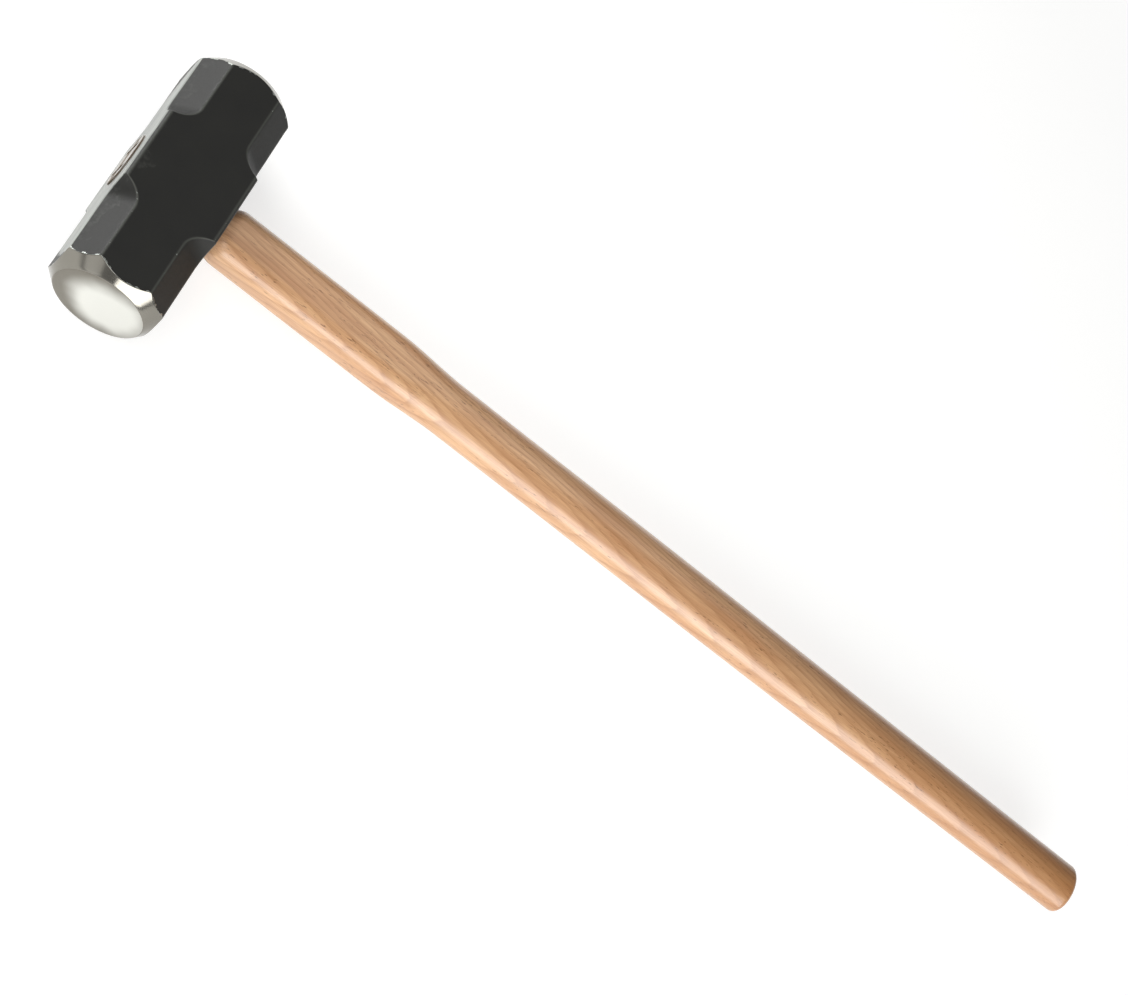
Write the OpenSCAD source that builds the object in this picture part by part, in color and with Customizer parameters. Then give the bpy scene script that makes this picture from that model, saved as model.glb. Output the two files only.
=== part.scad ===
// Double-faced sledgehammer: a forged steel head on a hickory handle.
// The hammer lies on one cheek of its head. The origin is the middle of that cheek,
// +X runs from the head to the butt of the handle, Y is the striking direction,
// and +Z points up through the head. Millimetres.

/* [Head] */
// Width of the square middle of the head
head_w = 74; // [60:0.1:96]
// Length between the two striking faces
head_len = 198; // [150:1:240]
// Leg of the chamfers on the head's four long edges
chamfer = 17.4; // [10:0.2:20]
// Rounding of the long edges of the square middle
edge_r = 3.5; // [1:0.5:6]
// Distance from the head's middle to where the chamfers reach their full width
chamfer_start = 45.5; // [34:0.5:50]
// Radius of the curve in which each chamfer runs out towards the middle
runout_r = 17.5; // [13:0.5:24]
// Diameter of each flat striking face
face_d = 64; // [50:1:70]
// Angle between the ground bevel round each face and the head's long axis
bevel_angle = 41; // [35:1:50]

/* [Eye] */
// Width of the eye along the head, where the handle enters
eye_mouth_y = 38.4; // [32:0.1:47]
// Width of the eye across the head, where the handle enters
eye_mouth_z = 29.8; // [24:0.1:37]
// How much narrower the eye is at its waist than at its mouth
eye_waist = 1.6; // [0:0.2:3]
// How much wider the eye is at the top than at its mouth
eye_flare = 2.4; // [1:0.2:4]
// Distance from the mouth to the eye's waist
eye_waist_depth = 30; // [20:1:50]

/* [Handle] */
// Length of the handle from the end in the eye to the butt
handle_len = 914.4; // [700:0.1:1100]
// Depth of the neck along the striking direction, next to the head
neck_y = 42.5; // [36:0.1:46]
// Depth where the squared neck ends
neck_end_y = 43.5; // [36:0.1:47]
// Depth where the oval grip begins
grip_y = 41.6; // [36:0.1:46]
// Depth of the grip at its fullest place
belly_y = 43.2; // [38:0.1:48]
// Depth of the grip at the butt
butt_y = 41.8; // [36:0.1:48]
// Thickness of the neck and the grip across the striking direction
handle_z = 31.2; // [26:0.1:39]
// Corner radius of the neck's squared section
neck_r = 9.5; // [6:0.5:14]
// Squareness of the neck: 0 for an oval, 1 for a rectangle with round corners
neck_box = 0.6; // [0:0.05:1]
// Length over which the handle swells from the eye to the neck
shoulder_len = 10; // [6:1:20]
// Distance from the head to the end of the squared neck
neck_len = 148; // [120:1:180]
// Length over which the squared neck turns into the oval grip
blend_len = 55; // [30:1:80]
// Distance from the head to the fullest place of the grip
belly_at = 440; // [360:1:520]
// Rounding of the butt's edge
butt_r = 5; // [3:0.5:8]
// Natural bow of the wood: to one side at the neck and to the other at the butt
sway = 0.8; // [0:0.1:2]
// How far the handle's end stands proud of the head's top
proud = 1; // [0.4:0.2:3]

/* [Wedges] */
// Depth of the saw cut in the handle's end that the wooden wedge fills
kerf_depth = 56; // [40:1:62]
// Thickness of the wooden wedge at the handle's end
wood_wedge_t = 8; // [5:0.1:10]
// Thickness of the wooden wedge at the bottom of the saw cut
wood_wedge_tip = 1.6; // [1:0.2:3]
// Wood left between the edges of each steel wedge and the eye's wall
steel_wedge_margin = 0.5; // [0.2:0.1:3]
// Length of each steel wedge
steel_wedge_len = 32; // [24:1:40]
// Thickness of each steel wedge at its head
steel_wedge_t = 4; // [3:0.2:5]
// Thickness of each steel wedge at its point
steel_wedge_tip = 1; // [0.6:0.1:1.5]
// Steps across each side of a steel wedge, which keep it from backing out
steel_wedge_steps = 4; // [2:1:6]
// Distance from the end of the eye's oval to the middle of each steel wedge
steel_wedge_inset = 8.5; // [6:0.1:11]
// How far the steel wedges are driven below the handle's end
steel_wedge_sink = 0.5; // [0.2:0.1:1.5]

/* [Fits] */
// Gap left between two pieces that are driven together
fit_gap = 0.02; // [0.01:0.01:0.1]

/* [Hidden] */

past = 5;                                         // how far a cutting shape runs past what it cuts
axis_z = head_w / 2;                              // height of the head's and handle's axis
top_x = -head_w / 2;                              // the head's top, where the eye is wedged
mouth_x = head_w / 2;                             // the head's underside, where the handle enters
end_x = top_x - proud;                            // the handle's end in the eye
butt_x = end_x + handle_len;                      // the butt of the handle
chamfer_plane = (head_w - chamfer) / sqrt(2);     // head's axis to the chamfer's surface
corner_reach = head_w / sqrt(2);                  // head's axis to the square's corner
turned_r = corner_reach + past;                   // the bevel's cone, carried on past the corners
bevel_len = (turned_r - face_d / 2) / tan(bevel_angle);

waist_x = mouth_x - eye_waist_depth;
neck_x = mouth_x + shoulder_len;
neck_end_x = mouth_x + neck_len;
grip_x = neck_end_x + blend_len;
belly_x = mouth_x + belly_at;

sides = 40;                                       // sides of the handle's section
arc_steps = 6;                                    // straight steps in each rounded edge of the head
round_fn = 96;                                    // smoothness of the turned and milled curves
eye_box = 0.35;                                   // squareness of the eye: 0 oval, 1 squared
barb_share = 0.35;                                // a wedge's barb, as a share of one step's taper

// Stations along the handle as [x, size]; sizes between two stations are in proportion.
eye_slope = (eye_flare + eye_waist) / (waist_x - top_x);
eye_y = [[end_x - past, eye_mouth_y + eye_flare + eye_slope * (proud + past)],
         [top_x, eye_mouth_y + eye_flare],
         [waist_x, eye_mouth_y - eye_waist],
         [mouth_x, eye_mouth_y]];
eye_z = [for (s = eye_y) [s[0], s[1] - eye_mouth_y + eye_mouth_z]];
handle_y = [[neck_x, neck_y], [neck_end_x, neck_end_y], [grip_x, grip_y],
            [belly_x, belly_y], [butt_x, butt_y]];

// The steel wedges stand across the eye, as wide as its oval waist lets them be.
steel_wedge_y = (eye_mouth_y - eye_waist) / 2 - steel_wedge_inset;
steel_wedge_w = (eye_mouth_z - eye_waist) * sqrt(1 - pow((steel_wedge_y + steel_wedge_t / 2)
    / ((eye_mouth_y - eye_waist) / 2), 2)) - 2 * steel_wedge_margin;

function ease(t) = t * t * (3 - 2 * t);
function part_of(x, a, b) = min(1, max(0, (x - a) / (b - a)));
function mix(a, b, t) = a + (b - a) * t;

function in_eye(x) = x <= mouth_x;
function shoulder(x) = ease(part_of(x, mouth_x, neck_x));
function bow(x) = in_eye(x) ? 0 : sway * shoulder(x) * cos(180 * part_of(x, mouth_x, butt_x));
function round_off(x) = x < butt_x - butt_r ? 0
    : butt_r - sqrt(max(0, butt_r * butt_r - pow(x - butt_x + butt_r, 2)));
function full_y(x) = in_eye(x) ? lookup(x, eye_y) - 2 * fit_gap
    : mix(eye_mouth_y - 2 * fit_gap, lookup(x, handle_y), shoulder(x)) - 2 * round_off(x);
function full_z(x) = in_eye(x) ? lookup(x, eye_z) - 2 * fit_gap
    : mix(eye_mouth_z - 2 * fit_gap, handle_z, shoulder(x)) - 2 * round_off(x);
function squareness(x) = in_eye(x) ? eye_box
    : mix(eye_box, neck_box, shoulder(x)) * (1 - ease(part_of(x, neck_end_x, grip_x)));

function sign_of(v) = abs(v) < 1e-6 ? 0 : sign(v);
// One ring at x: halfway between an oval and a rectangle with round corners, as box says.
function ring(x, y, z, box, shift) =
    let (r = min(neck_r, z / 2 - 1))
    [for (i = [0 : sides - 1])
        let (a = 360 * (i + 0.5) / sides,
             oval = [y / 2 * cos(a), z / 2 * sin(a)],
             square = [sign_of(cos(a)) * (y / 2 - r) + r * cos(a),
                       sign_of(sin(a)) * (z / 2 - r) + r * sin(a)])
        [x, mix(oval[0], square[0], box) + shift, axis_z + mix(oval[1], square[1], box)]];

eye_rings = [for (x = [end_x - past, waist_x, mouth_x, mouth_x + past])
    ring(x, lookup(x, eye_y), lookup(x, eye_z), eye_box, 0)];

function span(a, b, n) = [for (i = [0 : n - 1]) mix(a, b, i / n)];
handle_x = concat([end_x, waist_x], span(mouth_x, neck_x, 5), span(neck_x, neck_end_x, 5),
                  span(neck_end_x, grip_x, 8), span(grip_x, butt_x - butt_r, 16),
                  [for (i = [0 : 5]) butt_x - butt_r + butt_r * sin(i * 18)]);
handle_rings = [for (x = handle_x) ring(x, full_y(x), full_z(x), squareness(x), bow(x))];

// The head's square section with its four rounded corners.
block_outline = [for (corner = [0 : 3]) for (i = [0 : arc_steps])
    let (a = 90 * (corner + i / arc_steps), c = 45 + 90 * corner, flat = head_w / 2 - edge_r)
    [flat * sqrt(2) * cos(c) + edge_r * cos(a), flat * sqrt(2) * sin(c) + edge_r * sin(a)]];

// A closed skin over a list of rings that all have the same number of points.
module skin(rings) {
    n = len(rings[0]);
    last = len(rings) - 1;
    polyhedron(
        points = [for (r = rings) each r],
        faces = concat(
            [[for (i = [0 : n - 1]) i]],
            [for (k = [0 : last - 1]) for (i = [0 : n - 1])
                let (j = (i + 1) % n)
                each [[k * n + i, (k + 1) * n + i, (k + 1) * n + j], [k * n + i, (k + 1) * n + j, k * n + j]]],
            [[for (i = [n - 1 : -1 : 0]) last * n + i]]));
}

// The corner that a chamfer takes away, with the curve in which it runs out.
module chamfer_cut() {
    linear_extrude(height = 2 * head_w, center = true) {
        translate([chamfer_plane, chamfer_start])
            square([corner_reach, head_len]);
        translate([chamfer_plane + runout_r, chamfer_start])
            circle(r = runout_r, $fn = round_fn);
    }
}

// The blank that the bevels and the striking faces are turned to.
module turned_blank() {
    half = head_len / 2;
    rotate([90, 0, 0])
        rotate_extrude($fn = round_fn)
            polygon([[0, -half], [face_d / 2, -half], [turned_r, bevel_len - half],
                     [turned_r, half - bevel_len], [face_d / 2, half], [0, half]]);
}

module hammer_head() {
    color("dimgray")
        difference() {
            translate([0, 0, axis_z])
                intersection() {
                    difference() {
                        rotate([90, 0, 0])
                            linear_extrude(height = head_len, center = true)
                                polygon(block_outline);
                        for (turn = [45 : 90 : 315])
                            for (end = [0, 1])
                                mirror([0, end, 0])
                                    rotate([0, turn, 0])
                                        chamfer_cut();
                    }
                    turned_blank();
                }
            skin(eye_rings);
        }
}

// The wooden wedge's sides, grown by gap all round; it fills the saw cut from edge to edge.
module wood_wedge_form(gap) {
    top = wood_wedge_t / 2 + gap;
    tip = wood_wedge_tip / 2 + gap;
    bottom_x = end_x + kerf_depth + gap;
    slope = (top - tip) / kerf_depth;
    translate([0, head_w, axis_z])
        rotate([90, 0, 0])
            linear_extrude(height = 2 * head_w)
                polygon([[end_x - past, -top - slope * past], [bottom_x, -tip],
                         [bottom_x, tip], [end_x - past, top + slope * past]]);
}

// One steel wedge, grown by gap all round. Its sides taper in steps like a barbed nail.
module steel_wedge_form(place, gap) {
    head_x = end_x + steel_wedge_sink;
    step = steel_wedge_len / steel_wedge_steps;
    taper = (steel_wedge_t - steel_wedge_tip) / steel_wedge_steps;
    barb = barb_share * taper;
    lead = [for (i = [0 : steel_wedge_steps - 1])
        each [[head_x + i * step, (steel_wedge_t - i * taper) / 2],
              [head_x + (i + 1) * step, (steel_wedge_t - (i + 1) * taper) / 2 - barb / 2]]];
    point_x = head_x + steel_wedge_len;
    grown = concat([[end_x - past, steel_wedge_t / 2 + gap]],
                   [for (p = lead) [p[0] - (p[0] < point_x ? gap : -gap), p[1] + gap]]);
    side = gap == 0 ? lead : grown;
    other_side = [for (i = [len(side) - 1 : -1 : 0]) [side[i][0], -side[i][1]]];
    translate([0, place * steel_wedge_y, axis_z - steel_wedge_w / 2 - gap])
        linear_extrude(height = steel_wedge_w + 2 * gap)
            polygon(concat(side, other_side));
}

module steel_wedge_slots() {
    for (place = [-1, 1])
        steel_wedge_form(place, fit_gap);
}

module handle() {
    color("burlywood")
        difference() {
            skin(handle_rings);
            wood_wedge_form(fit_gap);
            steel_wedge_slots();
        }
}

module wood_wedge() {
    color("tan")
        difference() {
            intersection() {
                wood_wedge_form(0);
                skin([for (r = [0, 1, 2]) handle_rings[r]]);
            }
            steel_wedge_slots();
        }
}

module steel_wedge(place) {
    color("slategray")
        steel_wedge_form(place, 0);
}

module steel_wedge_1() {
    steel_wedge(-1);
}

module steel_wedge_2() {
    steel_wedge(1);
}

hammer_head();
handle();
wood_wedge();
steel_wedge_1();
steel_wedge_2();
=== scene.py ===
import math

import bmesh
import bpy
import numpy as np
from mathutils import Matrix, Vector, noise


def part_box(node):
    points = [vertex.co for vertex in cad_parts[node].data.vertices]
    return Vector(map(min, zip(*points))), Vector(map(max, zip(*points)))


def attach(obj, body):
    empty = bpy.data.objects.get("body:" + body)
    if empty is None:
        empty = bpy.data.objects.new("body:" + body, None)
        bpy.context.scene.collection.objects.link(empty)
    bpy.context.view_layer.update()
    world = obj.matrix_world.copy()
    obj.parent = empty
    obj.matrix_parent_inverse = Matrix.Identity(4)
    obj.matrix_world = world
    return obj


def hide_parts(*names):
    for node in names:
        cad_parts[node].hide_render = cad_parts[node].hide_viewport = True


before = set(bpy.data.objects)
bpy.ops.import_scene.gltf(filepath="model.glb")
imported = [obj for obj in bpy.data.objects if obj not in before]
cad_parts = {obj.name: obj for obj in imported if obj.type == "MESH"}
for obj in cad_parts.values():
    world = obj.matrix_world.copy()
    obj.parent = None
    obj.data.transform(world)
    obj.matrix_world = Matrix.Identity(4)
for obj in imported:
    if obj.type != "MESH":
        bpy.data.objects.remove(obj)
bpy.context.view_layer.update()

MM = 0.001

# ---- Forged head ---------------------------------------------------------------------
# One piece of drop-forged tool steel, painted black. Its long edges are chamfered towards
# both ends, its bevels and striking faces are ground bare, and the side where it is wedged
# is ground flat too. The handle and the wedges in its tapered eye hold it.
head_low, head_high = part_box("hammer_head")
half_w = (head_high.z - head_low.z) / 2
half_len = head_high.y
axis_z = (head_low.z + head_high.z) / 2

chamfer_leg = 17.4 * MM
chamfer_start = 45.5 * MM          # from the middle, where a chamfer has its full width
runout_r = 17.5 * MM               # curve in which a chamfer runs out
corner_r = 3.5 * MM                # rounding of the square middle
edge_soft = 1.2 * MM               # width of the softened edges of the chamfers
bevel_soft = 0.3 * MM
face_r = 32 * MM
face_crown = 0.7 * MM              # how far the face is domed
face_rim = 3 * MM                  # rounding of the face's edge
bevel_slope = math.tan(math.radians(41))
forging_wave = 0.16 * MM           # unevenness that the hammering leaves
forging_wave_length = 22 * MM
forging_wave_end = 4 * MM          # before the bevel's line, where that unevenness fades out
chamfer_depth = (2 * half_w - chamfer_leg) / math.sqrt(2)

flat_columns = 13
edge_columns = 8
chamfer_columns = 7
middle_rings = 12
chamfer_rings = 16
bevel_rings = 5
rim_rings = 7
face_rings = 13
edge_spread = math.radians(1.6)
eighth_turn = math.radians(45)


def smooth_min(a, b, width):
    """The lower of two surfaces, with the edge where they meet rounded over that width."""
    overlap = np.maximum(width - np.abs(a - b), 0) / width
    return np.minimum(a, b) - overlap * overlap * width / 4


def chamfer_distance(y):
    """From the head's axis to a chamfer's surface. It curves outwards where it runs out."""
    into_curve = np.clip(chamfer_start - np.abs(y), 0, runout_r)
    return chamfer_depth + runout_r - np.sqrt(runout_r**2 - into_curve**2)


def edge_angle(y):
    """Angle round the axis, from the middle of a flat, at which the flat meets the chamfer."""
    reach = math.sqrt(2) * chamfer_distance(y) - half_w
    widest = eighth_turn - 1.05 * edge_spread
    return np.minimum(np.arctan2(reach, half_w), widest)


def column_angles(y):
    """Angles of one ring's columns, gathered round the edges of its flats."""
    edge = edge_angle(y)
    near, far = edge - edge_spread, edge + edge_spread
    eighth = np.concatenate([
        np.linspace(0, near, flat_columns, endpoint=False),
        np.linspace(near, far, edge_columns, endpoint=False),
        np.linspace(far, eighth_turn, chamfer_columns + 1)])
    quarter = np.concatenate([eighth[:-1], (2 * eighth_turn - eighth[::-1])[:-1]])
    return np.concatenate([quarter + 2 * eighth_turn * k for k in range(4)])


def body_radius(angle, y):
    """From the axis to the forged body: a square with round corners, cut by the chamfers."""
    a = np.abs((angle + eighth_turn) % (2 * eighth_turn) - eighth_turn)
    inner = half_w - corner_r
    across = inner * (np.cos(a) - np.sin(a))
    corner = inner * (np.cos(a) + np.sin(a)) + np.sqrt(np.maximum(corner_r**2 - across**2, 0))
    square = np.where(np.tan(a) * half_w < inner, half_w / np.cos(a), corner)
    return smooth_min(square, chamfer_distance(y) / np.cos(eighth_turn - a), edge_soft)


def cone_radius(y):
    return face_r + (half_len - y) * bevel_slope


# The rings of one half, from the middle to the face, as (angles, radii, places along Y).
middle = np.linspace(0, chamfer_start - runout_r, middle_rings)
curve = np.radians(np.concatenate([
    np.arange(88, 74, -4), np.arange(74, 56, -1.3), np.arange(56, -1, -3)]))
rings = []
for y in np.concatenate([middle, chamfer_start - runout_r * np.sin(curve)]):
    angle = column_angles(y)
    rings.append((angle, body_radius(angle, y), np.full_like(angle, y)))

angle = column_angles(half_len)
end_radius = body_radius(angle, half_len)
bevel_y = half_len - (end_radius - face_r) / bevel_slope
near_bevel = 1.2 * MM              # the rings gather within this distance of the bevel's line
rim_y = half_len - 1.4 * MM        # where the face's rounded rim starts
for t in np.linspace(0, 1, chamfer_rings + 1)[1:]:
    y = chamfer_start + t * (bevel_y - near_bevel - chamfer_start)
    rings.append((angle, end_radius, y))
for t in (-0.5, -0.25, -0.12, -0.04, 0.04, 0.12, 0.25, 0.5, 1):
    y = bevel_y + t * near_bevel
    rings.append((angle, smooth_min(end_radius, cone_radius(y), bevel_soft), y))
for t in np.linspace(0, 1, bevel_rings + 1)[1:]:
    y = bevel_y + near_bevel + t * (rim_y - bevel_y - near_bevel)
    rings.append((angle, cone_radius(y), y))

corner_y = half_len - face_crown
rim = [(cone_radius(rim_y), rim_y), (cone_radius(corner_y), corner_y),
       (cone_radius(corner_y) - face_rim, corner_y)]
for t in np.linspace(0, 1, rim_rings + 1)[1:]:
    r, y = [(1 - t)**2 * a + 2 * t * (1 - t) * b + t * t * c for a, b, c in zip(*rim)]
    rings.append((angle, np.full_like(angle, r), np.full_like(angle, y)))
face_edge = rim[2][0]
for t in np.linspace(1, 0.04, face_rings + 1)[1:]:
    y = corner_y + face_crown * (1 - t * t)
    rings.append((angle, np.full_like(angle, t * face_edge), np.full_like(angle, y)))

half_rings = np.array([[a, r, y] for a, r, y in rings])
bevel_line = np.broadcast_to(bevel_y, half_rings[:, 0].shape)
mirrored = half_rings[:0:-1] * np.array([1, 1, -1])[:, None]
all_rings = np.concatenate([mirrored, half_rings])
to_bevel = np.concatenate([bevel_line[:0:-1], bevel_line]) - np.abs(all_rings[:, 2])
to_edge = np.abs(np.abs((all_rings[:, 0] + eighth_turn) % (2 * eighth_turn) - eighth_turn)
                 - edge_angle(all_rings[:, 2])) * all_rings[:, 1]


def forged_mesh():
    """The head without its eye, with each vertex's distance to the bevel's line and to an edge."""
    radius = all_rings[:, 1].copy()
    count, columns = radius.shape
    grid = np.stack([radius * np.sin(all_rings[:, 0]), all_rings[:, 2],
                     radius * np.cos(all_rings[:, 0])], axis=-1)
    places = grid.reshape(-1, 3)
    waves = np.array([noise.noise(Vector(p / forging_wave_length)) for p in places])
    fade = np.clip(to_bevel.reshape(-1) / forging_wave_end, 0, 1)
    inward = 1 - forging_wave * fade * (0.5 + 0.5 * waves) / half_w
    places[:, 0] *= inward
    places[:, 2] *= inward
    places[:, 2] += axis_z

    faces = [(k * columns + i, k * columns + (i + 1) % columns,
              (k + 1) * columns + (i + 1) % columns, (k + 1) * columns + i)
             for k in range(count - 1) for i in range(columns)]
    faces.append(tuple(range(columns)))
    faces.append(tuple(range((count - 1) * columns, count * columns)))
    mesh = bpy.data.meshes.new("forged_head")
    mesh.from_pydata(places.tolist(), [], faces)
    for name, values in (("to_bevel", to_bevel), ("to_edge", to_edge)):
        mesh.attributes.new(name, "FLOAT", "POINT").data.foreach_set("value", values.ravel())
    shape = bmesh.new()
    shape.from_mesh(mesh)
    bmesh.ops.recalc_face_normals(shape, faces=shape.faces)
    shape.to_mesh(mesh)
    shape.free()
    return mesh


def new_object(name, mesh):
    piece = bpy.data.objects.new(name, mesh)
    bpy.context.scene.collection.objects.link(piece)
    return piece


def made_solid(piece, name, smooth_to):
    """Turns the object with its modifiers into a plain mesh, shaded smooth up to that angle."""
    bpy.context.view_layer.update()
    shown = piece.evaluated_get(bpy.context.evaluated_depsgraph_get())
    piece.data = bpy.data.meshes.new_from_object(shown)
    piece.modifiers.clear()
    piece.data.name = name
    piece.data.shade_smooth()
    piece.data.set_sharp_from_angle(angle=math.radians(smooth_to))
    return piece


# The eye, narrowest at its waist: place along X, width along Y and width along Z.
fit_gap = 0.02 * MM
eye_mouth = (half_w, 38.4 * MM, 29.8 * MM)
eye_waist = (half_w - 30 * MM, 36.8 * MM, 28.2 * MM)
eye_top = (-half_w, 40.8 * MM, 32.2 * MM)
eye_box = 0.35                     # 0 oval, 1 squared
neck_r = 9.5 * MM                  # corners of the squared section
eye_rim = 1 * MM                   # chamfer where the eye opens
past = 4 * MM                      # how far a cutter reaches beyond what it cuts


def section_point(a, y, z, box):
    """One point of a section between an oval and a rectangle with round corners, by that share."""
    c, s = math.cos(a), math.sin(a)
    oval = (y / 2 * c, z / 2 * s)
    square = (math.copysign(y / 2 - neck_r, c) + neck_r * c,
              math.copysign(z / 2 - neck_r, s) + neck_r * s)
    return [o + box * (q - o) for o, q in zip(oval, square)]


def lofted(name, stations, sides=96):
    """A closed solid through sections at (x, width along Y, width along Z)."""
    mesh = bmesh.new()
    loops = []
    for x, y, z in stations:
        ring = [section_point(math.tau * (i + 0.5) / sides, y, z, eye_box) for i in range(sides)]
        loops.append([mesh.verts.new((x, p[0], axis_z + p[1])) for p in ring])
    for low, high in zip(loops, loops[1:]):
        for i in range(sides):
            j = (i + 1) % sides
            mesh.faces.new((low[i], low[j], high[j], high[i]))
    mesh.faces.new(loops[0])
    mesh.faces.new(loops[-1])
    bmesh.ops.recalc_face_normals(mesh, faces=mesh.faces)
    data = bpy.data.meshes.new(name)
    mesh.to_mesh(data)
    mesh.free()
    return data


def wider(station, shift, grow):
    return (station[0] + shift, station[1] + grow, station[2] + grow)


eye_cutter = new_object("eye_cutter", lofted("eye_cutter", [
    wider(eye_top, -past, 2 * eye_rim + 2 * past), wider(eye_top, eye_rim, 0), eye_waist,
    wider(eye_mouth, -eye_rim, 0), wider(eye_mouth, past, 2 * eye_rim + 2 * past)]))


def cut(piece, cutters):
    for cutter in cutters:
        boolean = piece.modifiers.new(cutter.name, "BOOLEAN")
        boolean.operation = "DIFFERENCE"
        boolean.solver = "EXACT"
        boolean.object = cutter


head = new_object("hammer_head_forged", forged_mesh())
cut(head, [eye_cutter])
made_solid(head, "forged_head", 35)
bpy.data.objects.remove(eye_cutter)


def add_node(tree, kind, inputs=None, **settings):
    """Adds a node with its settings. An input is set to a value or linked to a node or an output."""
    new = tree.nodes.new(kind)
    for name, value in settings.items():
        setattr(new, name, value)
    for key, value in (inputs or {}).items():
        if isinstance(value, bpy.types.Node):
            value = value.outputs[0]
        if isinstance(value, bpy.types.NodeSocket):
            tree.links.new(value, new.inputs[key])
        else:
            new.inputs[key].default_value = value
    return new


def linear(code):
    """A linear colour from an sRGB hex value."""
    values = [int(code[i:i + 2], 16) / 255 for i in (1, 3, 5)]
    return [v / 12.92 if v <= 0.04045 else ((v + 0.055) / 1.055) ** 2.4 for v in values] + [1]


def new_material(name):
    material = bpy.data.materials.new(name)
    material.use_nodes = True
    material.node_tree.nodes.clear()
    return material, material.node_tree


# Black enamel over the forging's skin. It is satin and a little uneven, has chipped off along
# the bevels and the edges, and is rubbed thin beside the ground side, which is bare steel with
# streaks of scale. The grit and the streaks are drawn coarser than real ones, so that they show.
# A map range on a noise gives two of its levels, then what the surface has at each of them.
grit_size = 1.6 * MM
chip_size = 5 * MM
patch_size = 26 * MM
streak_width = 2.4 * MM
streak_length = 34 * MM
chipped_back = (0.1 * MM, 2.4 * MM)    # from a bevel, least and most
worn_back = (-0.2 * MM, 1.4 * MM)      # from an edge, least and most
edge_sheen_back = (0.2 * MM, 1.3 * MM)    # from an edge, where the painted edge highlight ends
rubbed_back = 14 * MM                  # from the ground side, at most
ground_depth = (0.5 * MM, 0.9 * MM)    # of the ground side, where its finish ends
black_from = (73 * MM, 75 * MM)        # from the middle, where the ground side is left black
black_drift = 30 * MM                  # how far that border wanders
black_slant = -0.6                     # how it leans towards the middle lower down

enamel, tree = new_material("black_enamel_on_forged_steel")
place = add_node(tree, "ShaderNodeTexCoord").outputs["Object"]
xyz = add_node(tree, "ShaderNodeSeparateXYZ", {0: place})
grit = add_node(tree, "ShaderNodeTexNoise", {"Vector": place, "Scale": 1 / grit_size, "Detail": 3.0})
patches = add_node(tree, "ShaderNodeTexNoise", {"Vector": place, "Scale": 1 / patch_size, "Detail": 2.0})
chips = add_node(tree, "ShaderNodeTexNoise", {
    "Vector": place, "Scale": 1 / chip_size, "Detail": 5.0, "Roughness": 0.62})
along = add_node(tree, "ShaderNodeMapping", {
    "Vector": place, "Scale": (1 / streak_width, 1 / streak_length, 1 / streak_width)})
streaks = add_node(tree, "ShaderNodeTexNoise", {
    "Vector": along, "Scale": 1.0, "Detail": 6.0, "Roughness": 0.68})

from_bevel = add_node(tree, "ShaderNodeAttribute", attribute_name="to_bevel").outputs["Fac"]
from_edge = add_node(tree, "ShaderNodeAttribute", attribute_name="to_edge").outputs["Fac"]
ragged = add_node(tree, "ShaderNodeMapRange", {
    0: chips, 1: 0.48, 2: 0.75, 3: chipped_back[0], 4: chipped_back[1]})
bevel_bare = add_node(tree, "ShaderNodeMath", {0: from_bevel, 1: ragged}, operation="LESS_THAN")
worn = add_node(tree, "ShaderNodeMapRange", {0: chips, 1: 0.6, 2: 0.8, 3: worn_back[0], 4: worn_back[1]})
edge_bare = add_node(tree, "ShaderNodeMath", {0: from_edge, 1: worn}, operation="LESS_THAN")
bare_edges = add_node(tree, "ShaderNodeMath", {0: bevel_bare, 1: edge_bare}, operation="MAXIMUM")

from_ground_side = add_node(tree, "ShaderNodeMath", {0: xyz.outputs[0], 1: half_w}, operation="ADD")
ground_side = add_node(tree, "ShaderNodeMapRange", {
    0: from_ground_side, 1: ground_depth[0], 2: ground_depth[1], 3: 1.0, 4: 0.0})
from_middle = add_node(tree, "ShaderNodeMath", {0: xyz.outputs[1]}, operation="ABSOLUTE")
leaning = add_node(tree, "ShaderNodeMath", {
    0: xyz.outputs[2], 1: black_slant, 2: from_middle}, operation="MULTIPLY_ADD")
to_black = add_node(tree, "ShaderNodeMath", {
    0: patches, 1: black_drift, 2: leaning}, operation="MULTIPLY_ADD")
not_black = add_node(tree, "ShaderNodeMapRange", {
    0: to_black, 1: black_from[0], 2: black_from[1], 3: 1.0, 4: 0.0})
side_bare = add_node(tree, "ShaderNodeMath", {0: ground_side, 1: not_black}, operation="MULTIPLY")
bare = add_node(tree, "ShaderNodeMath", {0: bare_edges, 1: side_bare}, operation="MAXIMUM")

deep = add_node(tree, "ShaderNodeMix", {
    0: patches, 6: linear("#1c1c1b"), 7: linear("#232320")}, data_type="RGBA").outputs[2]
# A lighter grey band along each edge is a painted edge highlight, where the paint is also worn thin.
thin = add_node(tree, "ShaderNodeMapRange", {
    0: from_edge, 1: edge_sheen_back[0], 2: edge_sheen_back[1], 3: 0.4, 4: 0.0})
rub_depth = add_node(tree, "ShaderNodeMapRange", {0: patches, 1: 0.45, 2: 0.7, 3: 0.0, 4: rubbed_back})
rub_zone = add_node(tree, "ShaderNodeMath", {0: from_ground_side, 1: rub_depth}, operation="LESS_THAN")
rub_spots = add_node(tree, "ShaderNodeMapRange", {0: chips, 1: 0.5, 2: 0.7, 3: 0.0, 4: 0.2})
rubbed = add_node(tree, "ShaderNodeMath", {0: rub_zone, 1: rub_spots}, operation="MULTIPLY")
sheen_and_rub = add_node(tree, "ShaderNodeMath", {0: thin, 1: rubbed}, operation="MAXIMUM")
black = add_node(tree, "ShaderNodeMix", {
    0: sheen_and_rub, 6: deep, 7: linear("#5e605a")}, data_type="RGBA").outputs[2]
scale_share = add_node(tree, "ShaderNodeMapRange", {0: streaks, 1: 0.34, 2: 0.62})
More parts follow.
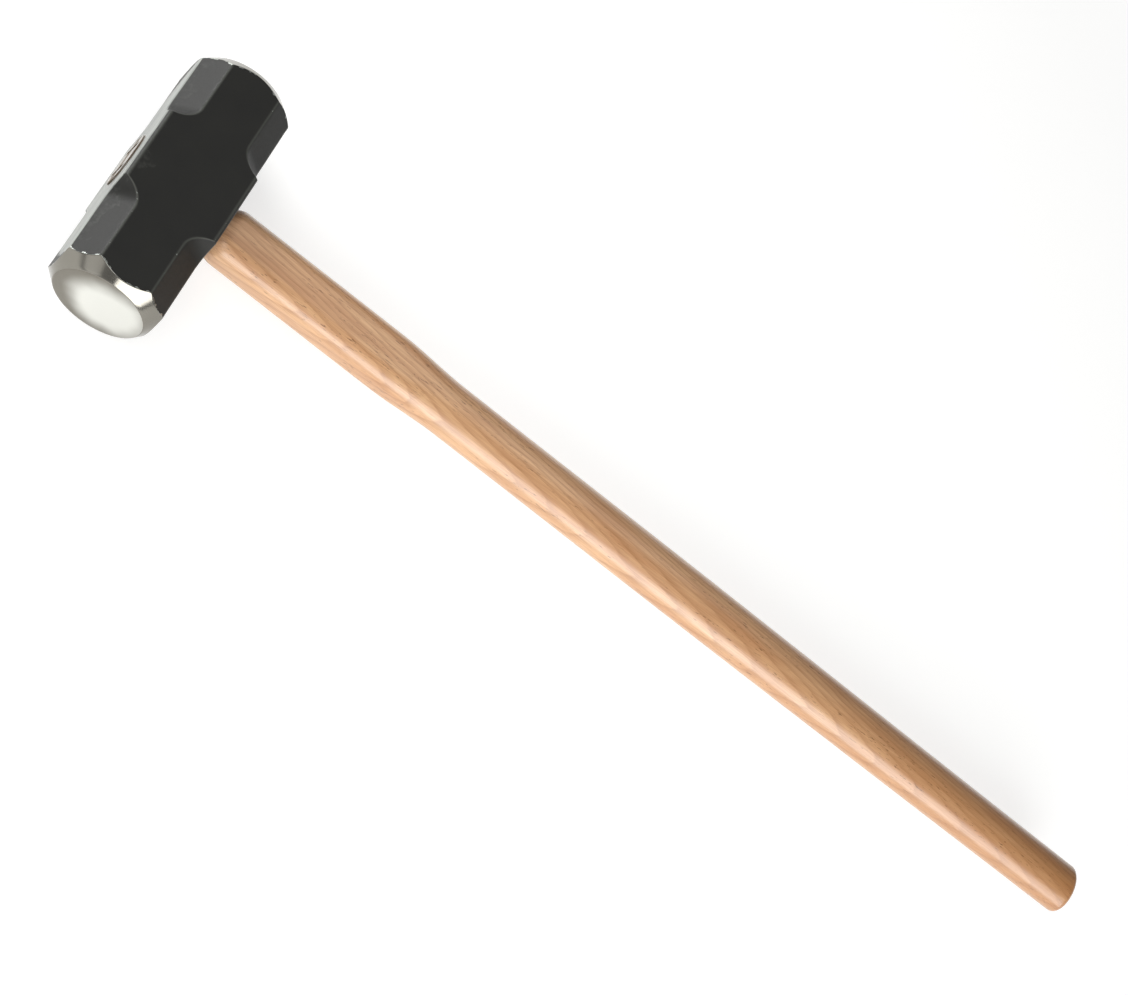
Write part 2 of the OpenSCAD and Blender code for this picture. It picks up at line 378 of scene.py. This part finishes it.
steel = add_node(tree, "ShaderNodeMix", {
    0: scale_share, 6: linear("#6c6e6d"), 7: linear("#aeb2ac")}, data_type="RGBA").outputs[2]
skin = add_node(tree, "ShaderNodeMix", {0: bare, 6: black, 7: steel}, data_type="RGBA").outputs[2]
satin = add_node(tree, "ShaderNodeMapRange", {0: grit, 3: 0.40, 4: 0.56})
ground = add_node(tree, "ShaderNodeMapRange", {0: streaks, 3: 0.24, 4: 0.42})
gloss = add_node(tree, "ShaderNodeMix", {0: bare, 2: satin, 3: ground})
pits = add_node(tree, "ShaderNodeBump", {"Height": grit, "Distance": 0.06 * MM, "Strength": 0.5})
surface = add_node(tree, "ShaderNodeBsdfPrincipled", {
    "Base Color": skin, "Metallic": bare, "Roughness": gloss, "Normal": pits, "Specular IOR Level": 0.28})
add_node(tree, "ShaderNodeOutputMaterial", {"Surface": surface})

# Tool steel ground bare on a wheel: fine marks run round the axis, drawn coarse enough to show.
# The bevels are polished and mirror what stands round them, and the faces are duller. Each face
# has a painted highlight in its middle and painted shade at its rim, and the bevels faintly too.
wheel_mark = 0.7 * MM
highlight_cloud = 18 * MM
highlight_drift = 8 * MM              # how far the border of the painted highlight wanders
scratch_depth = 0.012 * MM


def turned_steel(name, rim_shade_colour, highlight_colour, centre, highlight_r, rim_shade_r, smoothest, roughest):
    """Steel with a painted highlight inside one radius of a centre (x, z) and painted shade outside the
    other.
    """
    material, tree = new_material(name)
    place = add_node(tree, "ShaderNodeTexCoord").outputs["Object"]
    centred = add_node(tree, "ShaderNodeMapping", {"Vector": place, "Location": (0, 0, -axis_z)})
    xyz = add_node(tree, "ShaderNodeSeparateXYZ", {0: centred})
    flat_place = add_node(tree, "ShaderNodeCombineXYZ", {0: xyz.outputs[0], 2: xyz.outputs[2]})
    from_axis = add_node(tree, "ShaderNodeVectorMath", {0: flat_place}, operation="LENGTH")
    from_centre = add_node(tree, "ShaderNodeVectorMath", {
        0: flat_place, 1: (centre[0], 0, centre[1])}, operation="DISTANCE")
    round_axis = add_node(tree, "ShaderNodeMath", {
        0: xyz.outputs[0], 1: xyz.outputs[2]}, operation="ARCTAN2")
    turned = add_node(tree, "ShaderNodeCombineXYZ", {0: from_axis.outputs["Value"], 1: xyz.outputs[1]})
    fine = add_node(tree, "ShaderNodeVectorMath", {0: turned, 3: 1 / wheel_mark}, operation="SCALE")
    spin = add_node(tree, "ShaderNodeCombineXYZ", {2: round_axis})
    spun = add_node(tree, "ShaderNodeVectorMath", {0: fine, 1: spin}, operation="ADD")
    marks = add_node(tree, "ShaderNodeTexNoise", {
        "Vector": spun, "Scale": 1.0, "Detail": 4.0, "Roughness": 0.6})
    cloud = add_node(tree, "ShaderNodeTexNoise", {
        "Vector": place, "Scale": 1 / highlight_cloud, "Detail": 1.0})
    highlight_border = add_node(tree, "ShaderNodeMath", {
        0: cloud, 1: highlight_drift, 2: from_centre.outputs["Value"]}, operation="MULTIPLY_ADD")
    share = add_node(tree, "ShaderNodeMapRange", {
        0: highlight_border, 1: highlight_r + highlight_drift / 2, 2: rim_shade_r + highlight_drift / 2},
        interpolation_type="SMOOTHSTEP")
    painted_light_tone = add_node(tree, "ShaderNodeMix", {
        0: share, 6: linear(highlight_colour), 7: linear(rim_shade_colour)}, data_type="RGBA").outputs[2]
    wheel = add_node(tree, "ShaderNodeMapRange", {0: marks, 3: smoothest, 4: roughest})
    scratches = add_node(tree, "ShaderNodeBump", {
        "Height": marks, "Distance": scratch_depth, "Strength": 0.5})
    surface = add_node(tree, "ShaderNodeBsdfPrincipled", {
        "Base Color": painted_light_tone, "Metallic": 1.0, "Roughness": wheel, "Normal": scratches})
    add_node(tree, "ShaderNodeOutputMaterial", {"Surface": surface})
    return material


bevel_steel = turned_steel(
    "polished_tool_steel", "#86837b", "#96938b", (0, 0), 10 * MM, 40 * MM, 0.1, 0.22)
# On the faces the bright middle is a painted highlight and the dull rim is painted shade.
face_steel = turned_steel(
    "ground_tool_steel", "#7c786f", "#e0e0da", (8 * MM, 2 * MM), 16 * MM, 35 * MM, 0.24, 0.4)

head.data.materials.clear()
head.data.materials.append(enamel)
head.data.materials.append(bevel_steel)
head.data.materials.append(face_steel)
bevel_distance = head.data.attributes["to_bevel"].data
face_starts = corner_y - 0.4 * MM      # partway round its rim
for face in head.data.polygons:
    on_bevel = sum(bevel_distance[v].value for v in face.vertices) < 0
    on_face = abs(face.center.y) > face_starts
    face.material_index = 2 if on_face else 1 if on_bevel else 0
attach(head, "root")
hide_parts("hammer_head")

# ---- Handle --------------------------------------------------------------------------
# One turned and shaved length of hickory, varnished. Its tongue fills the eye, its neck is
# squared, and its grip is oval with a rounded butt. A saw cut in its end takes the wedges.
# It is lofted through the stations below.
handle_low, handle_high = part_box("handle")
tongue_end = handle_low.x
butt_x = handle_high.x
handle_t = 31.2 * MM
neck_box = 0.6
stations = {                       # (place along X, depth along Y, thickness along Z), squareness
    "Eye Top": (eye_top, eye_box),
    "Eye Waist": (eye_waist, eye_box),
    "Eye Mouth": (eye_mouth, eye_box),
    "Neck": ((half_w + 10 * MM, 42.5 * MM, handle_t), neck_box),
    "Neck End": ((half_w + 148 * MM, 43.5 * MM, handle_t), neck_box),
    "Grip": ((half_w + 203 * MM, 41.6 * MM, handle_t), 0),
    "Belly": ((half_w + 440 * MM, 43.2 * MM, handle_t), 0),
    "Butt": ((butt_x, 41.8 * MM, handle_t), 0),
}
handle_sizes = {
    "Tongue End": tongue_end,
    "Butt End": butt_x,
    "Butt Rounding": 5 * MM,
    "Corner Radius": neck_r,
    "Bow": 0.8 * MM,
    "Unevenness": 0.004,
    "Wave Length": 110 * MM,
}
merge_gap = 0.02 * MM              # closes the seam and the two end points
rings_along = 400
columns_round = 96
cap_share = 0.01                   # share of the rings in the flat end of the tongue
turn_from, turn_to = 0.94, 0.98    # shares where the butt's rounding starts and ends

shape = bpy.data.node_groups.new("shaved_handle", "GeometryNodeTree")
for name in stations:
    shape.interface.new_socket(name, in_out="INPUT", socket_type="NodeSocketVector")
for name in handle_sizes:
    shape.interface.new_socket(name, in_out="INPUT", socket_type="NodeSocketFloat")
shape.interface.new_socket("Wood", in_out="INPUT", socket_type="NodeSocketMaterial")
shape.interface.new_socket("Handle", in_out="OUTPUT", socket_type="NodeSocketGeometry")
given = add_node(shape, "NodeGroupInput").outputs

blank = add_node(shape, "GeometryNodeMeshGrid", {
    "Size X": 1.0, "Size Y": 1.0, "Vertices X": rings_along, "Vertices Y": columns_round + 1})
cell = add_node(shape, "ShaderNodeSeparateXYZ", {0: add_node(shape, "GeometryNodeInputPosition")})
share = add_node(shape, "ShaderNodeMath", {0: cell.outputs[0], 1: 0.5}, operation="ADD")
around = add_node(shape, "ShaderNodeMath", {
    0: cell.outputs[1], 1: -math.tau, 2: math.pi / columns_round}, operation="MULTIPLY_ADD")

straight_end = add_node(shape, "ShaderNodeMath", {0: given["Butt End"], 1: given["Butt Rounding"]},
                        operation="SUBTRACT")
straight = add_node(shape, "ShaderNodeMapRange", {
    0: share, 1: cap_share, 2: turn_from, 3: given["Tongue End"], 4: straight_end})
turn = add_node(shape, "ShaderNodeMapRange", {
    0: share, 1: turn_from, 2: turn_to, 3: 0.0, 4: math.pi / 2})
turn_sine = add_node(shape, "ShaderNodeMath", {0: turn}, operation="SINE")
turn_cosine = add_node(shape, "ShaderNodeMath", {0: turn}, operation="COSINE")
x = add_node(shape, "ShaderNodeMath", {0: turn_sine, 1: given["Butt Rounding"], 2: straight},
             operation="MULTIPLY_ADD")
lost = add_node(shape, "ShaderNodeMath", {0: 1.0, 1: turn_cosine}, operation="SUBTRACT")
inset = add_node(shape, "ShaderNodeMath", {0: lost, 1: given["Butt Rounding"]}, operation="MULTIPLY")
butt_cap = add_node(shape, "ShaderNodeMapRange", {0: share, 1: turn_to, 2: 1.0, 3: 1.0, 4: 0.0})
tongue_cap = add_node(shape, "ShaderNodeMapRange", {0: share, 1: 0.0, 2: cap_share, 3: 0.0, 4: 1.0})
cap = add_node(shape, "ShaderNodeMath", {0: butt_cap, 1: tongue_cap}, operation="MULTIPLY")

names = list(stations)
size = given[names[0]]
squareness = stations[names[0]][1]
steps = {}
for name, following in zip(names, names[1:]):
    start = add_node(shape, "ShaderNodeSeparateXYZ", {0: given[name]})
    stop = add_node(shape, "ShaderNodeSeparateXYZ", {0: given[following]})
    easing = "LINEAR" if following.startswith("Eye") else "SMOOTHSTEP"
    step = add_node(shape, "ShaderNodeMapRange", {0: x, 1: start, 2: stop, 3: 0.0, 4: 1.0},
                    interpolation_type=easing)
    size = add_node(shape, "ShaderNodeMix", {0: step, 4: size, 5: given[following]},
                    data_type="VECTOR").outputs[1]
    squareness = add_node(shape, "ShaderNodeMix", {0: step, 2: squareness, 3: stations[following][1]})
    steps[following] = step

halves = add_node(shape, "ShaderNodeVectorMath", {0: size, 3: 0.5}, operation="SCALE")
half_size = add_node(shape, "ShaderNodeVectorMath", {0: halves, 1: inset}, operation="SUBTRACT")
cosine = add_node(shape, "ShaderNodeMath", {0: around}, operation="COSINE")
sine = add_node(shape, "ShaderNodeMath", {0: around}, operation="SINE")
unit = add_node(shape, "ShaderNodeCombineXYZ", {1: cosine, 2: sine})
signs = add_node(shape, "ShaderNodeCombineXYZ", {
    1: add_node(shape, "ShaderNodeMath", {0: cosine}, operation="SIGN"),
    2: add_node(shape, "ShaderNodeMath", {0: sine}, operation="SIGN")})
oval = add_node(shape, "ShaderNodeVectorMath", {0: half_size, 1: unit}, operation="MULTIPLY")
inner = add_node(shape, "ShaderNodeVectorMath", {
    0: half_size, 1: given["Corner Radius"]}, operation="SUBTRACT")
corners = add_node(shape, "ShaderNodeVectorMath", {0: inner, 1: signs}, operation="MULTIPLY")
rounded = add_node(shape, "ShaderNodeVectorMath", {0: unit, 1: given["Corner Radius"], 2: corners},
                   operation="MULTIPLY_ADD")
section = add_node(shape, "ShaderNodeMix", {
    0: squareness, 4: oval, 5: rounded}, data_type="VECTOR").outputs[1]

waviness = add_node(shape, "ShaderNodeVectorMath", {
    0: add_node(shape, "ShaderNodeCombineXYZ", {0: x}), 1: section}, operation="ADD")
per_wave = add_node(shape, "ShaderNodeMath", {0: 1.0, 1: given["Wave Length"]}, operation="DIVIDE")
wave = add_node(shape, "ShaderNodeTexNoise", {"Vector": waviness, "Scale": per_wave, "Detail": 1.0})
shaved = add_node(shape, "ShaderNodeMath", {0: wave, 1: given["Unevenness"]}, operation="MULTIPLY")
full = add_node(shape, "ShaderNodeMath", {0: 1.0, 1: shaved}, operation="SUBTRACT")
fullness = add_node(shape, "ShaderNodeMath", {0: full, 1: cap}, operation="MULTIPLY")
outline = add_node(shape, "ShaderNodeVectorMath", {0: section, 3: fullness}, operation="SCALE")

mouth = add_node(shape, "ShaderNodeSeparateXYZ", {0: given["Eye Mouth"]})
bare_share = add_node(shape, "ShaderNodeMapRange", {
    0: x, 1: mouth, 2: given["Butt End"], 3: 0.0, 4: math.pi})
bow_wave = add_node(shape, "ShaderNodeMath", {0: bare_share}, operation="COSINE")
bow_size = add_node(shape, "ShaderNodeMath", {0: given["Bow"], 1: steps["Neck"]}, operation="MULTIPLY")
bow = add_node(shape, "ShaderNodeMath", {0: bow_wave, 1: bow_size}, operation="MULTIPLY")
middle_line = add_node(shape, "ShaderNodeCombineXYZ", {0: x, 1: bow, 2: axis_z})
flat_outline = add_node(shape, "ShaderNodeVectorMath", {0: outline, 1: (0, 1, 1), 2: middle_line},
                        operation="MULTIPLY_ADD")

placed = add_node(shape, "GeometryNodeSetPosition", {"Geometry": blank, "Position": flat_outline})
closed = add_node(shape, "GeometryNodeMergeByDistance", {"Geometry": placed, "Distance": merge_gap})
realized = add_node(shape, "GeometryNodeRealizeInstances", {"Geometry": closed})
coated = add_node(shape, "GeometryNodeSetMaterial", {"Geometry": realized, "Material": given["Wood"]})
add_node(shape, "NodeGroupOutput", {0: coated})

# Hickory under clear varnish: pale brown and browner towards the butt, with darker late wood in
# long arches where the rings run out through the surface, and short dark pores along them. It is
# darker where it leaves the eye, and its end grain is greyed. The rings, the fibre and the pores
# are drawn about twice as coarse as real ones, so that they show.
ring_gap = 2.6 * MM
arch_length = 41 * MM              # along the handle, from one ring to the next
pith_y, pith_z = 33 * MM, axis_z - 30 * MM
ring_bend = 7 * MM
ring_ripple = 2 * MM
brown_from = 450 * MM
brown_most = 0.6
dark_band_length = 14 * MM             # at most, from the head
grey_depth = 1 * MM                # below the end grain
pore_from, pore_full = 0.63, 0.69  # levels of the noise
varnish_grain = 0.04 * MM


def stretched_noise(tree, length, width, detail, roughness=0.5):
    """Noise drawn out along the handle."""
    place = add_node(tree, "ShaderNodeTexCoord").outputs["Object"]
    drawn = add_node(tree, "ShaderNodeMapping", {
        "Vector": place, "Scale": (1 / length, 1 / width, 1 / width)})
    return add_node(tree, "ShaderNodeTexNoise", {
        "Vector": drawn, "Scale": 1.0, "Detail": detail, "Roughness": roughness})


hickory, tree = new_material("varnished_hickory")
place = add_node(tree, "ShaderNodeTexCoord").outputs["Object"]
xyz = add_node(tree, "ShaderNodeSeparateXYZ", {0: place})
bend = stretched_noise(tree, 170 * MM, 30 * MM, 2.0)
ripple = stretched_noise(tree, 45 * MM, 7 * MM, 3.0)
fibre = stretched_noise(tree, 24 * MM, 0.6 * MM, 4.0, 0.6)
pore = stretched_noise(tree, 6 * MM, 0.9 * MM, 2.0)
cluster = stretched_noise(tree, 90 * MM, 8 * MM, 1.0)
tint = stretched_noise(tree, 90 * MM, 9 * MM, 3.0)

pith = add_node(tree, "ShaderNodeMapping", {
    "Vector": place, "Location": (0, -pith_y, -pith_z), "Scale": (0, 1, 1)})
from_pith = add_node(tree, "ShaderNodeVectorMath", {0: pith}, operation="LENGTH")
run_out = add_node(tree, "ShaderNodeMath", {
    0: xyz.outputs[0], 1: -ring_gap / arch_length, 2: from_pith.outputs["Value"]},
    operation="MULTIPLY_ADD")
bent = add_node(tree, "ShaderNodeMath", {0: bend, 1: ring_bend, 2: run_out}, operation="MULTIPLY_ADD")
rippled = add_node(tree, "ShaderNodeMath", {0: ripple, 1: ring_ripple, 2: bent}, operation="MULTIPLY_ADD")
year = add_node(tree, "ShaderNodeMath", {0: rippled, 1: ring_gap}, operation="DIVIDE")
season = add_node(tree, "ShaderNodeMath", {0: year}, operation="FRACT")
late = add_node(tree, "ShaderNodeValToRGB", {0: season})
late.color_ramp.elements[0].position = 0.45
late.color_ramp.elements[0].color = (0, 0, 0, 1)
late.color_ramp.elements[1].position = 0.92
late.color_ramp.elements[1].color = (1, 1, 1, 1)
late.color_ramp.elements.new(1.0).color = (0.1, 0.1, 0.1, 1)

tinted = add_node(tree, "ShaderNodeMapRange", {0: tint, 1: 0.3, 2: 0.7})
pale = add_node(tree, "ShaderNodeMix", {
    0: tinted, 6: linear("#e1b68a"), 7: linear("#c8966b")}, data_type="RGBA").outputs[2]
brown_share = add_node(tree, "ShaderNodeMapRange", {
    0: xyz.outputs[0], 1: brown_from, 2: butt_x, 3: 0.0, 4: brown_most})
browned = add_node(tree, "ShaderNodeMix", {
    0: brown_share, 6: pale, 7: linear("#a66c32")}, data_type="RGBA").outputs[2]
streak = add_node(tree, "ShaderNodeMapRange", {0: fibre, 1: 0.3, 2: 0.7, 3: 0.0, 4: 0.5})
late_share = add_node(tree, "ShaderNodeMath", {0: late, 1: 0.32, 2: streak}, operation="MULTIPLY_ADD")
figured = add_node(tree, "ShaderNodeMix", {
    0: late_share, 6: browned, 7: linear("#9c6a42")}, data_type="RGBA").outputs[2]
crowded = add_node(tree, "ShaderNodeMapRange", {0: cluster, 1: 0.42, 2: 0.6, 3: 0.1, 4: 0.8})
pore_share = add_node(tree, "ShaderNodeMapRange", {0: pore, 1: pore_from, 2: pore_full, 3: 0.0, 4: crowded})
pored = add_node(tree, "ShaderNodeMix", {
    0: pore_share, 6: figured, 7: linear("#6b4528")}, data_type="RGBA").outputs[2]
# Darker for a short way from where it leaves the eye.
dark_band_end = add_node(tree, "ShaderNodeMath", {
    0: ripple, 1: dark_band_length, 2: half_w}, operation="MULTIPLY_ADD")
dark_band = add_node(tree, "ShaderNodeMapRange", {0: xyz.outputs[0], 1: half_w, 2: dark_band_end, 3: 0.5, 4: 0.0})
dark_banded = add_node(tree, "ShaderNodeMix", {
    0: dark_band, 6: pored, 7: linear("#5f4630")}, data_type="RGBA").outputs[2]
grey_share = add_node(tree, "ShaderNodeMapRange", {
    0: xyz.outputs[0], 1: -half_w, 2: grey_depth - half_w, 3: 0.85, 4: 0.0})
greyed = add_node(tree, "ShaderNodeMix", {
    0: grey_share, 6: dark_banded, 7: linear("#5a5348")}, data_type="RGBA").outputs[2]
sheen = add_node(tree, "ShaderNodeMapRange", {0: fibre, 3: 0.36, 4: 0.5})
raised = add_node(tree, "ShaderNodeBump", {"Height": fibre, "Distance": varnish_grain, "Strength": 0.3})
surface = add_node(tree, "ShaderNodeBsdfPrincipled", {
    "Base Color": greyed, "Roughness": sheen, "Normal": raised,
    "Coat Weight": 1.0, "Coat Roughness": 0.26})
add_node(tree, "ShaderNodeOutputMaterial", {"Surface": surface})

handle = new_object("handle_hickory", bpy.data.meshes.new("shaved_handle"))
shaper = handle.modifiers.new("shape", "NODES")
shaper.node_group = shape
inputs = {"Wood": hickory, **handle_sizes, **{name: at for name, (at, box) in stations.items()}}
for item in shape.interface.items_tree:
    if item.in_out == "INPUT":
        shaper[item.identifier] = inputs[item.name]
made_solid(handle, "shaved_handle", 40)

# The saw cut, and the slots that the steel wedges make, a hair wider than the wedges.
wood_wedge_t = 8 * MM
wood_wedge_tip = 1.6 * MM
kerf_depth = 56 * MM
steel_wedge_t = 4 * MM
steel_wedge_tip = 1 * MM


def tapered_block(name, x_from, x_to, thick_from, thick_to, wide, thin_axis, centre):
    """A wedge-shaped solid along X, thin along Y or Z, with its middle at that (y, z)."""
    data = bpy.data.meshes.new(name)
    points = []
    for x, t in ((x_from, thick_from / 2), (x_to, thick_to / 2)):
        for side, edge in ((-1, -1), (1, -1), (1, 1), (-1, 1)):
            thin, broad = side * t, edge * wide / 2
            y, z = (thin, broad) if thin_axis == "Y" else (broad, thin)
            points.append((x, centre[0] + y, centre[1] + z))
    sides = [(i, (i + 1) % 4, 4 + (i + 1) % 4, 4 + i) for i in range(4)]
    data.from_pydata(points, [], sides + [(3, 2, 1, 0), (4, 5, 6, 7)])
    solid = bmesh.new()
    solid.from_mesh(data)
    bmesh.ops.recalc_face_normals(solid, faces=solid.faces)
    solid.to_mesh(data)
    solid.free()
    return new_object(name, data)


kerf_slope = (wood_wedge_t - wood_wedge_tip) / kerf_depth
cutters = [tapered_block("saw_cut", tongue_end - past, tongue_end + kerf_depth,
                         wood_wedge_t + kerf_slope * past, wood_wedge_tip, 4 * half_w, "Z", (0, axis_z))]
for node_name in ("steel_wedge_1", "steel_wedge_2"):
    low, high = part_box(node_name)
    slope = (steel_wedge_t - steel_wedge_tip) / (high.x - low.x)
    cutters.append(tapered_block(
        "slot_" + node_name, tongue_end - past, high.x + fit_gap,
        steel_wedge_t + 2 * fit_gap + slope * past, steel_wedge_tip + 2 * fit_gap,
        high.z - low.z + 2 * fit_gap, "Y", ((low.y + high.y) / 2, axis_z)))
cut(handle, cutters)
made_solid(handle, "shaved_handle", 40)
for cutter in cutters:
    bpy.data.objects.remove(cutter)
handle.data.materials.clear()
handle.data.materials.append(hickory)
handle.data.polygons.foreach_set("material_index", [0] * len(handle.data.polygons))
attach(handle, "root")
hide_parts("handle")

# ---- Wedges --------------------------------------------------------------------------
# A sawn oak wedge fills the saw cut and is cut off flush. Two barbed steel wedges driven
# across it, a little below the surface, spread the tongue in the eye.
oak, tree = new_material("sawn_oak")
saw_mark = 0.1 * MM
oak_fibre = stretched_noise(tree, 16 * MM, 0.5 * MM, 3.0)
oak_pore = stretched_noise(tree, 9 * MM, 0.7 * MM, 2.0)
oak_tone = add_node(tree, "ShaderNodeMix", {
    0: oak_fibre, 6: linear("#6f6250"), 7: linear("#54493b")}, data_type="RGBA").outputs[2]
oak_open = add_node(tree, "ShaderNodeMapRange", {0: oak_pore, 1: 0.6, 2: 0.68, 3: 0.0, 4: 0.35})
oak_colour = add_node(tree, "ShaderNodeMix", {
    0: oak_open, 6: oak_tone, 7: linear("#3c2b1a")}, data_type="RGBA").outputs[2]
sawn = add_node(tree, "ShaderNodeBump", {"Height": oak_fibre, "Distance": saw_mark, "Strength": 0.5})
surface = add_node(tree, "ShaderNodeBsdfPrincipled", {
    "Base Color": oak_colour, "Roughness": 0.7, "Normal": sawn})
add_node(tree, "ShaderNodeOutputMaterial", {"Surface": surface})

# Rolled mild steel, dented on top by the hammer that drove it, with a film of rust.
dent_size = 2.2 * MM
dent_depth = 0.25 * MM
rust_size = 5 * MM
wedge_steel, tree = new_material("rolled_mild_steel")
place = add_node(tree, "ShaderNodeTexCoord").outputs["Object"]
dents = add_node(tree, "ShaderNodeTexNoise", {"Vector": place, "Scale": 1 / dent_size, "Detail": 3.0})
rust = add_node(tree, "ShaderNodeTexNoise", {
    "Vector": place, "Scale": 1 / rust_size, "Detail": 5.0, "Roughness": 0.65})
rusted = add_node(tree, "ShaderNodeMapRange", {0: rust, 1: 0.5, 2: 0.68, 3: 0.0, 4: 0.75})
rolled = add_node(tree, "ShaderNodeMix", {
    0: rusted, 6: linear("#8f8f8d"), 7: linear("#6b4a34")}, data_type="RGBA").outputs[2]
metal_share = add_node(tree, "ShaderNodeMapRange", {0: rusted, 3: 1.0, 4: 0.2})
dullness = add_node(tree, "ShaderNodeMapRange", {0: rusted, 3: 0.32, 4: 0.7})
dented = add_node(tree, "ShaderNodeBump", {"Height": dents, "Distance": dent_depth, "Strength": 0.6})
surface = add_node(tree, "ShaderNodeBsdfPrincipled", {
    "Base Color": rolled, "Metallic": metal_share, "Roughness": dullness, "Normal": dented})
add_node(tree, "ShaderNodeOutputMaterial", {"Surface": surface})

wedge_materials = {"wood_wedge": oak, "steel_wedge_1": wedge_steel, "steel_wedge_2": wedge_steel}
for node_name, material in wedge_materials.items():
    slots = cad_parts[node_name].data.materials
    slots.clear()
    slots.append(material)

# ---- Stage ---------------------------------------------------------------------------
# A plain white floor, lit a little from below, under soft studio lights. Away from the object
# the camera sees it as an evenly lit white sweep, as it does what stands round it.
floor_half = 40
floor_glow = 0.66
sweep_from, sweep_full = 0.75, 1.5     # from the middle of the object
sweep_white = 1.2
floor_material, tree = new_material("white_floor")
floor_surface = add_node(tree, "ShaderNodeBsdfPrincipled", {
    "Base Color": linear("#bcbcba"), "Roughness": 0.9,
    "Emission Color": (1, 1, 1, 1), "Emission Strength": floor_glow})
place = add_node(tree, "ShaderNodeTexCoord").outputs["Object"]
from_object = add_node(tree, "ShaderNodeVectorMath", {
    0: place, 1: (butt_x / 2, 0, 0)}, operation="DISTANCE")
far_off = add_node(tree, "ShaderNodeMapRange", {
    0: from_object.outputs["Value"], 1: sweep_from, 2: sweep_full}, interpolation_type="SMOOTHSTEP")
seen = add_node(tree, "ShaderNodeLightPath").outputs["Is Camera Ray"]
sweep_share = add_node(tree, "ShaderNodeMath", {0: far_off, 1: seen}, operation="MULTIPLY")
sweep = add_node(tree, "ShaderNodeEmission", {"Color": (1, 1, 1, 1), "Strength": sweep_white})
surface = add_node(tree, "ShaderNodeMixShader", {0: sweep_share, 1: floor_surface, 2: sweep})
add_node(tree, "ShaderNodeOutputMaterial", {"Surface": surface})
floor_mesh = bpy.data.meshes.new("floor")
floor_mesh.from_pydata([(-floor_half, -floor_half, 0), (floor_half, -floor_half, 0),
                        (floor_half, floor_half, 0), (-floor_half, floor_half, 0)], [], [(0, 1, 2, 3)])
floor = new_object("floor", floor_mesh)
floor_mesh.materials.append(floor_material)

# The studio round it is brightest low down and in front, where the striking face looks.
low_glow, high_glow = 0.45, 0.12
front_glow, back_glow = 2.2, 0.4
world = bpy.data.worlds.new("studio")
bpy.context.scene.world = world
world.use_nodes = True
tree = world.node_tree
tree.nodes.clear()
direction = add_node(tree, "ShaderNodeTexCoord").outputs["Generated"]
sky = add_node(tree, "ShaderNodeSeparateXYZ", {0: direction})
height = add_node(tree, "ShaderNodeMapRange", {0: sky.outputs[2], 1: 0.0, 2: 0.7, 3: low_glow, 4: high_glow})
front = add_node(tree, "ShaderNodeMapRange", {
    0: sky.outputs[1], 1: -1.0, 2: -0.3, 3: front_glow, 4: back_glow})
strength = add_node(tree, "ShaderNodeMath", {0: height, 1: front}, operation="MULTIPLY")
glow = add_node(tree, "ShaderNodeBackground", {"Color": (1, 1, 1, 1), "Strength": strength})
backdrop = add_node(tree, "ShaderNodeBackground", {"Color": (1, 1, 1, 1), "Strength": sweep_white})
seen = add_node(tree, "ShaderNodeLightPath").outputs["Is Camera Ray"]
studio = add_node(tree, "ShaderNodeMixShader", {0: seen, 1: glow, 2: backdrop})
add_node(tree, "ShaderNodeOutputWorld", {"Surface": studio})


def add_softbox(name, target, towards, distance, size, radiance):
    """A rectangular light in that direction from the target, facing it, of that brightness."""
    data = bpy.data.lights.new(name, "AREA")
    data.shape = "RECTANGLE"
    data.size, data.size_y = size
    data.energy = radiance * math.pi * size[0] * size[1]
    light = bpy.data.objects.new(name, data)
    bpy.context.scene.collection.objects.link(light)
    direction = Vector(towards).normalized()
    light.matrix_world = (Matrix.Translation(Vector(target) + distance * direction)
                          @ direction.to_track_quat("Z", "Y").to_matrix().to_4x4())
    light.visible_camera = False
    return light


neck = (0.2, 0, 0.04)
head_middle = (0, 0, 0.04)
add_softbox("key_softbox", neck, (0.42, -0.80, 0.43), 2.4, (2.3, 1.5), 5.1)
add_softbox("bevel_card", head_middle, (-0.58, -0.76, 0.28), 1.2, (0.5, 0.45), 0.75)
add_softbox("top_softbox", head_middle, (-0.35, -0.35, 0.87), 1.1, (0.9, 0.7), 2.2)
add_softbox("side_softbox", head_middle, (-0.84, 0.43, 0.33), 1.1, (0.9, 0.4), 10)
add_softbox("cheek_reflector", head_middle, (0.32, 0.49, 0.81), 1.6, (1.0, 1.0), 0.9)

aim = Vector((0.3471, 0.0023, axis_z))
camera_distance = 1.571
camera_azimuth = math.radians(-33.17)      # from -Y towards -X
camera_elevation = math.radians(54.34)
camera_roll = math.radians(65.88)
camera = bpy.data.objects.new("camera", bpy.data.cameras.new("camera"))
bpy.context.scene.collection.objects.link(camera)
camera.data.lens = 70.2
camera.data.sensor_width = 36
camera.data.sensor_fit = "HORIZONTAL"
camera.matrix_world = (Matrix.Translation(aim) @ Matrix.Rotation(camera_azimuth, 4, "Z")
                       @ Matrix.Rotation(math.pi / 2 - camera_elevation, 4, "X")
                       @ Matrix.Rotation(camera_roll, 4, "Z")
                       @ Matrix.Translation((0, 0, camera_distance)))
bpy.context.scene.camera = camera
bpy.context.scene.view_settings.view_transform = "Standard"
